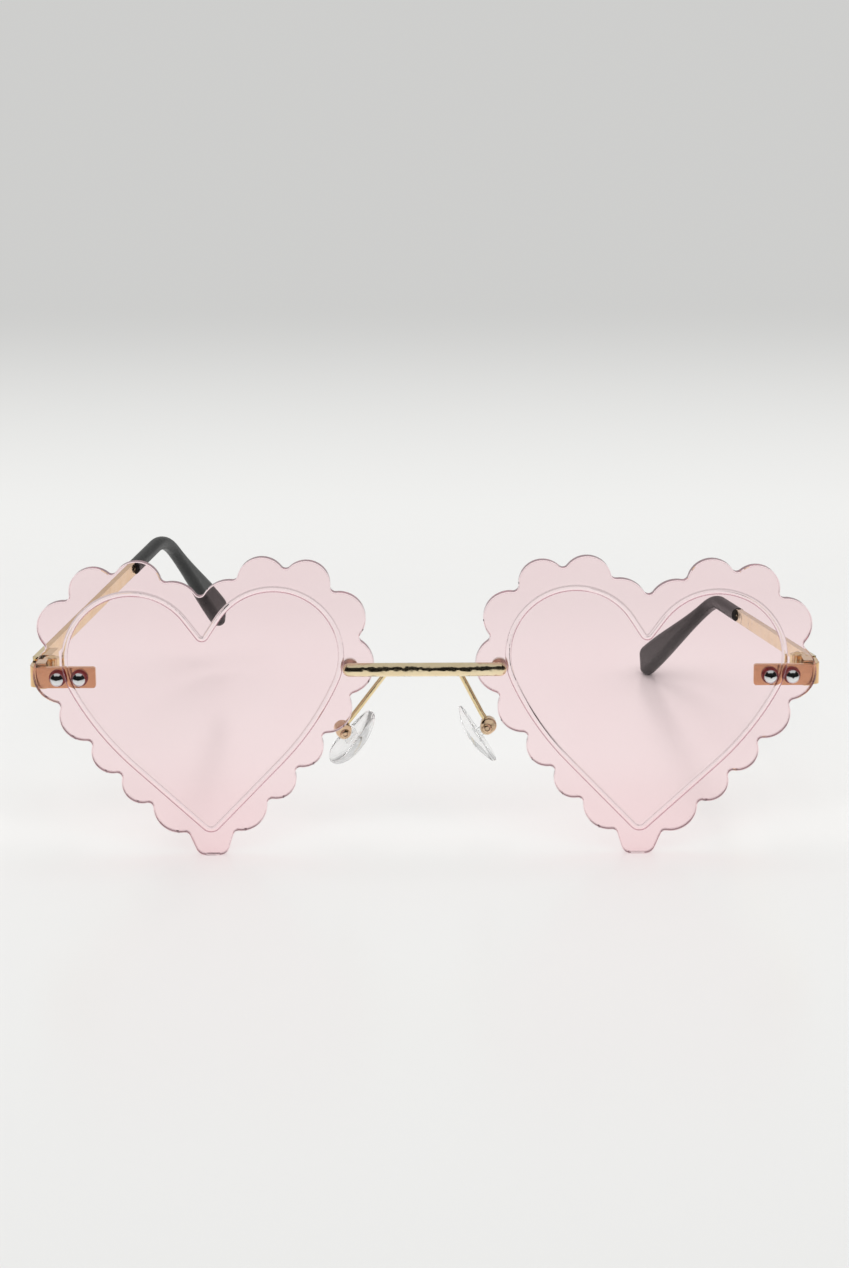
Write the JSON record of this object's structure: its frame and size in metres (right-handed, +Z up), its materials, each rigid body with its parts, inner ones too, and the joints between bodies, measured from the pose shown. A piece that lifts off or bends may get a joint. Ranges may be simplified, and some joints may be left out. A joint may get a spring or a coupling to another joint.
{
  "type": "sunglasses",
  "caption": "Rimless heart-shaped sunglasses with scalloped pink lenses, a straight metal bridge, clear nose pads and folding metal temples with sleeved ear tips.",
  "frame": {"origin": "on the table, under the middle of the box around the open glasses as they stand", "axes": "+X to the viewer's right when the glasses are seen from the front, +Y from the lenses back along the temples, +Z up; the lens fronts face -Y"},
  "size_m": [0.1447, 0.1564, 0.0557],
  "materials": {
    "tinted_lens": "polished, clear",
    "gold_metal": "polished pale gold",
    "gold_screw": "polished",
    "steel_screw": "polished",
    "bush_plastic": "smooth",
    "clear_pad": "clear, soft gloss",
    "pad_core": "clear",
    "black_sleeve": "gloss"
  },
  "bodies": {
    "front": {"lens_left": "tinted_lens", "lens_right": "tinted_lens", "bridge_bar": "gold_metal", "bridge_nut_left": "gold_metal", "bridge_nut_right": "gold_metal", "endpiece_left": "gold_metal", "endpiece_right": "gold_metal", "lens_screws_left": "steel_screw", "lens_screws_right": "steel_screw", "lens_bushes_left": "bush_plastic", "lens_bushes_right": "bush_plastic", "lens_nuts_left": "steel_screw", "lens_nuts_right": "steel_screw", "hinge_front_leaf_left": "gold_metal", "hinge_front_leaf_right": "gold_metal", "hinge_screw_left": "gold_screw", "hinge_screw_right": "gold_screw", "pad_arm_left": "gold_metal", "pad_arm_right": "gold_metal", "pad_box_left": "gold_metal", "pad_box_right": "gold_metal", "pad_screw_left": "gold_screw", "pad_screw_right": "gold_screw"},
    "temple_left": {"hinge_temple_leaf_left": "gold_metal", "temple_bar_left": "gold_metal", "temple_tip_left": "black_sleeve"},
    "temple_right": {"hinge_temple_leaf_right": "gold_metal", "temple_bar_right": "gold_metal", "temple_tip_right": "black_sleeve"},
    "pad_left": {"nose_pad_left": "clear_pad", "pad_insert_left": "pad_core"},
    "pad_right": {"nose_pad_right": "clear_pad", "pad_insert_right": "pad_core"}
  },
  "joints": [
    {"name": "temple_left_fold", "type": "hinge", "parent": "front", "child": "temple_left", "pos_m": [-0.06882, -0.06689, 0.0333], "axis": [0, 0, -1], "range_deg": [-6.3, 81.7]},
    {"name": "temple_right_fold", "type": "hinge", "parent": "front", "child": "temple_right", "pos_m": [0.06882, -0.06689, 0.0333], "axis": [0, 0, 1], "range_deg": [-2.3, 78.7]},
    {"name": "nose_pad_left_rock", "type": "hinge", "parent": "front", "child": "pad_left", "pos_m": [-0.01507, -0.06789, 0.02155], "axis": [-0.2705, 0.9336, 0.2351], "range_deg": [-10, 10]},
    {"name": "nose_pad_right_rock", "type": "hinge", "parent": "front", "child": "pad_right", "pos_m": [0.0115, -0.06789, 0.02215], "axis": [-0.0146, 0.9998, -0.0095], "range_deg": [-10, 10]}
  ]
}
